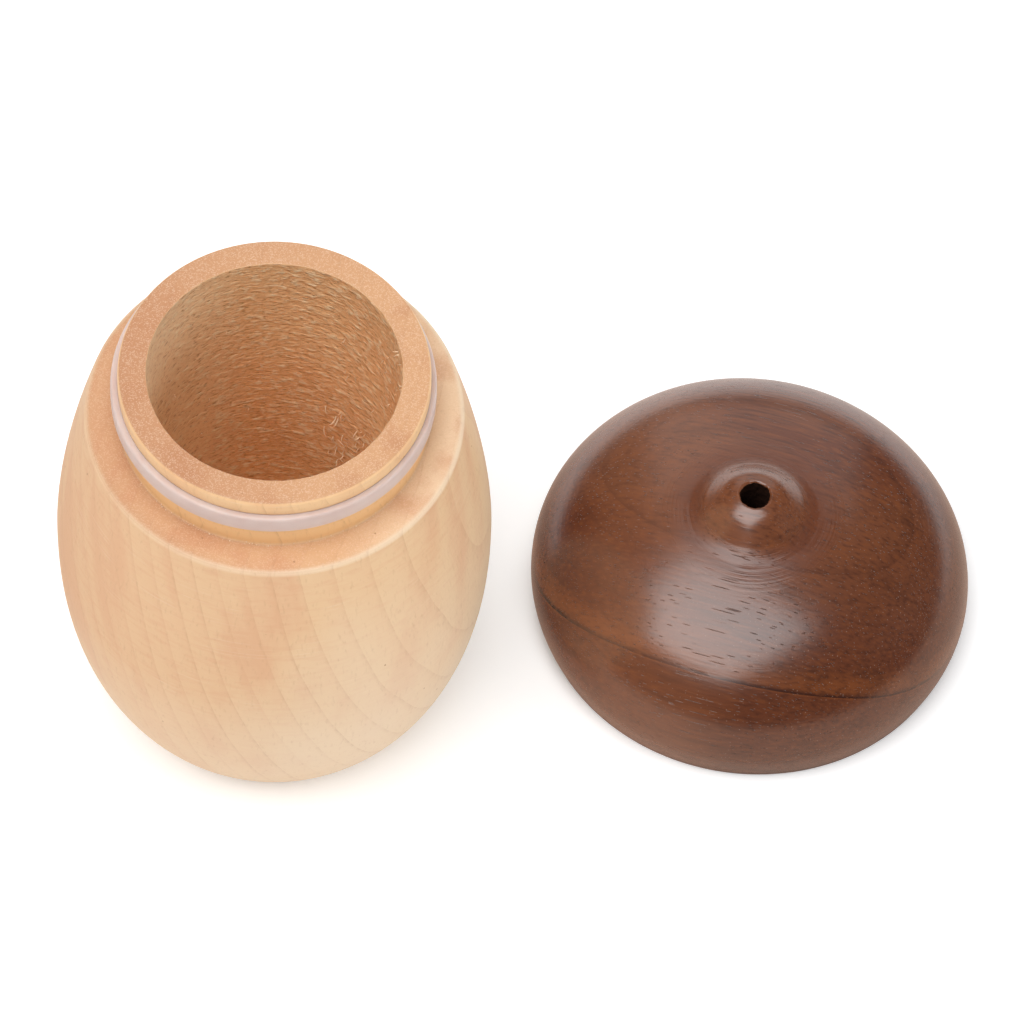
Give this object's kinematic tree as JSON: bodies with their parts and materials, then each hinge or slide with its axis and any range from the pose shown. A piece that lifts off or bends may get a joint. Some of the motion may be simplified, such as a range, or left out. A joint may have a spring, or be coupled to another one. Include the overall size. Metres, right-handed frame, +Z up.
{
  "type": "shaker jar",
  "caption": "Acorn-shaped turned wooden shaker jar with a straight bore and a sealed neck, open, and its hollow push-on cap with a shaking hole standing beside it.",
  "frame": {"origin": "centre of the jar's flat base, on the surface the jar and its cap both stand on", "axes": "+Z up along the jar's bore, +X from the jar towards the cap set down beside it"},
  "size_m": [0.1139, 0.0658, 0.0667],
  "materials": {
    "maple": "fine-sanded maple with a thin matte oil, darker and rough inside the bore",
    "silicone": "translucent pale silicone",
    "walnut": "satin lacquered walnut"
  },
  "bodies": {
    "jar": {"maple_jar": "maple", "seal_ring": "silicone"},
    "cap": {"walnut_cap": "walnut"}
  },
  "joints": [
    {"name": "cap_lift", "type": "slide", "parent": "jar", "child": "cap", "axis": [0, 0, 1], "range_m": [0, 0.09]}
  ]
}
